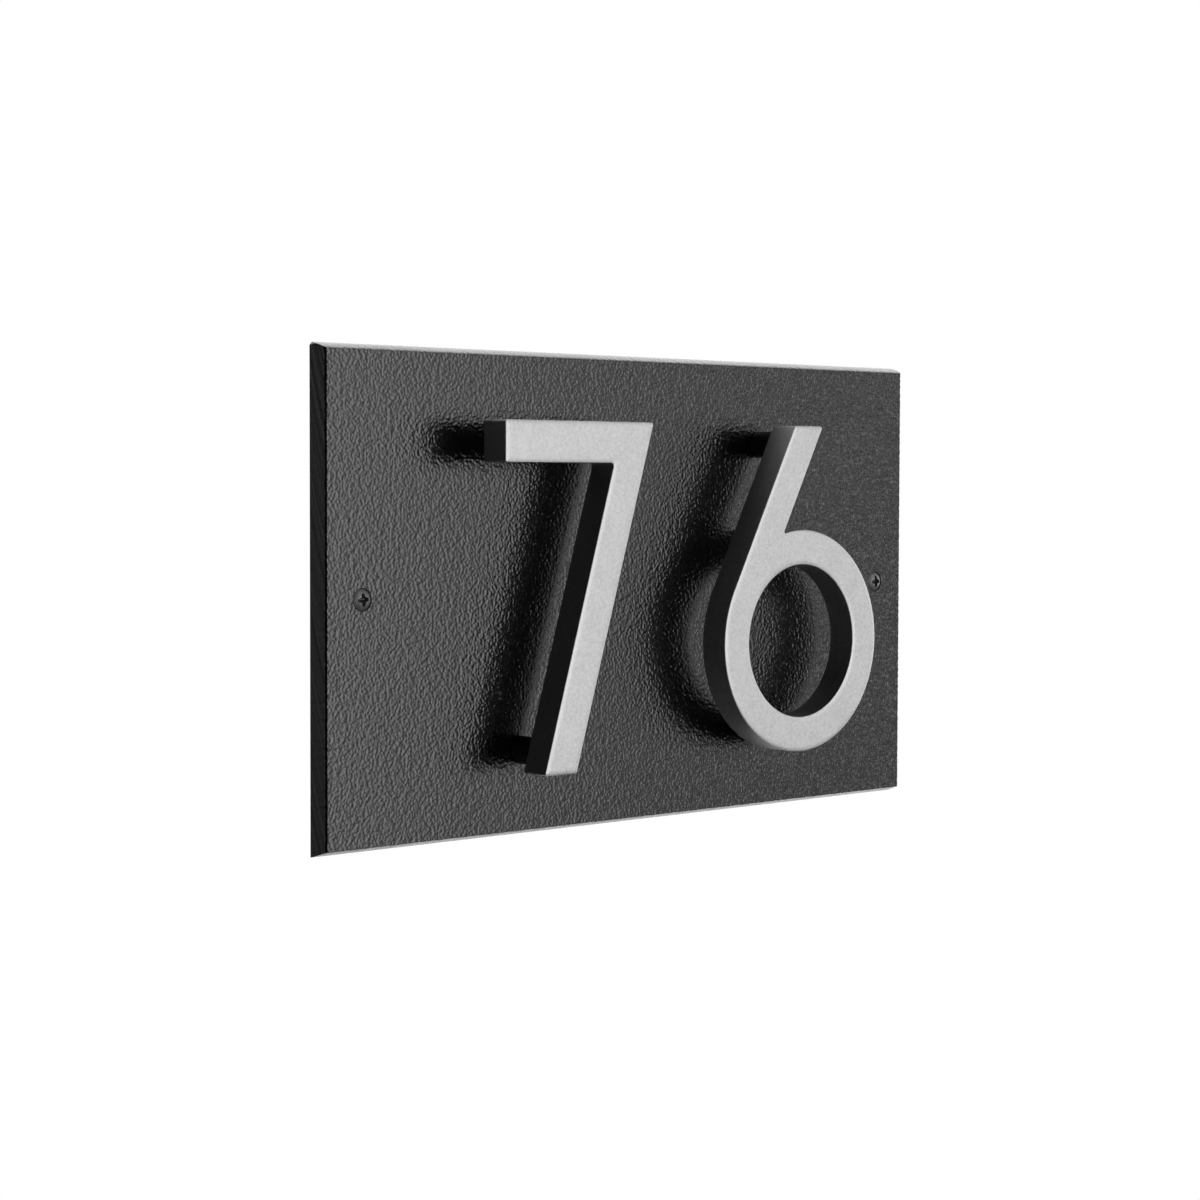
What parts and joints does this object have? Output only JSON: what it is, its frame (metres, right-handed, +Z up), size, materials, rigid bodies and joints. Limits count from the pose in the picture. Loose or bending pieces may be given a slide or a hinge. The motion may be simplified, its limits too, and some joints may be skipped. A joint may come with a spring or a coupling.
{
  "type": "house number plaque",
  "caption": "Oblong bevelled wall plaque with raised house numerals held off its textured face on round standoffs, fixed to a wall by screws at its ends.",
  "frame": {"origin": "centre of the panel's back face, midway between the wall screws", "axes": "+X to the right along the plaque, +Z up, +Y into the wall"},
  "size_m": [0.3048, 0.0494, 0.1778],
  "materials": {
    "panel_sheet": "embossed pebble texture with a semi-gloss sheen, sawn bevels",
    "numeral_metal": "satin silver with a fine grain, edges broken",
    "standoff_black": "smooth black",
    "screw_steel": "bright plated",
    "screw_black": "black, slightly glossy"
  },
  "bodies": {
    "root": {"backing_panel": "panel_sheet", "numeral_seven": "numeral_metal", "numeral_six": "numeral_metal", "seven_upper_standoff": "standoff_black", "seven_lower_standoff": "standoff_black", "six_upper_standoff": "standoff_black", "six_lower_standoff": "standoff_black", "numeral_screws": "screw_steel", "wall_screws": "screw_black"}
  },
  "joints": []
}
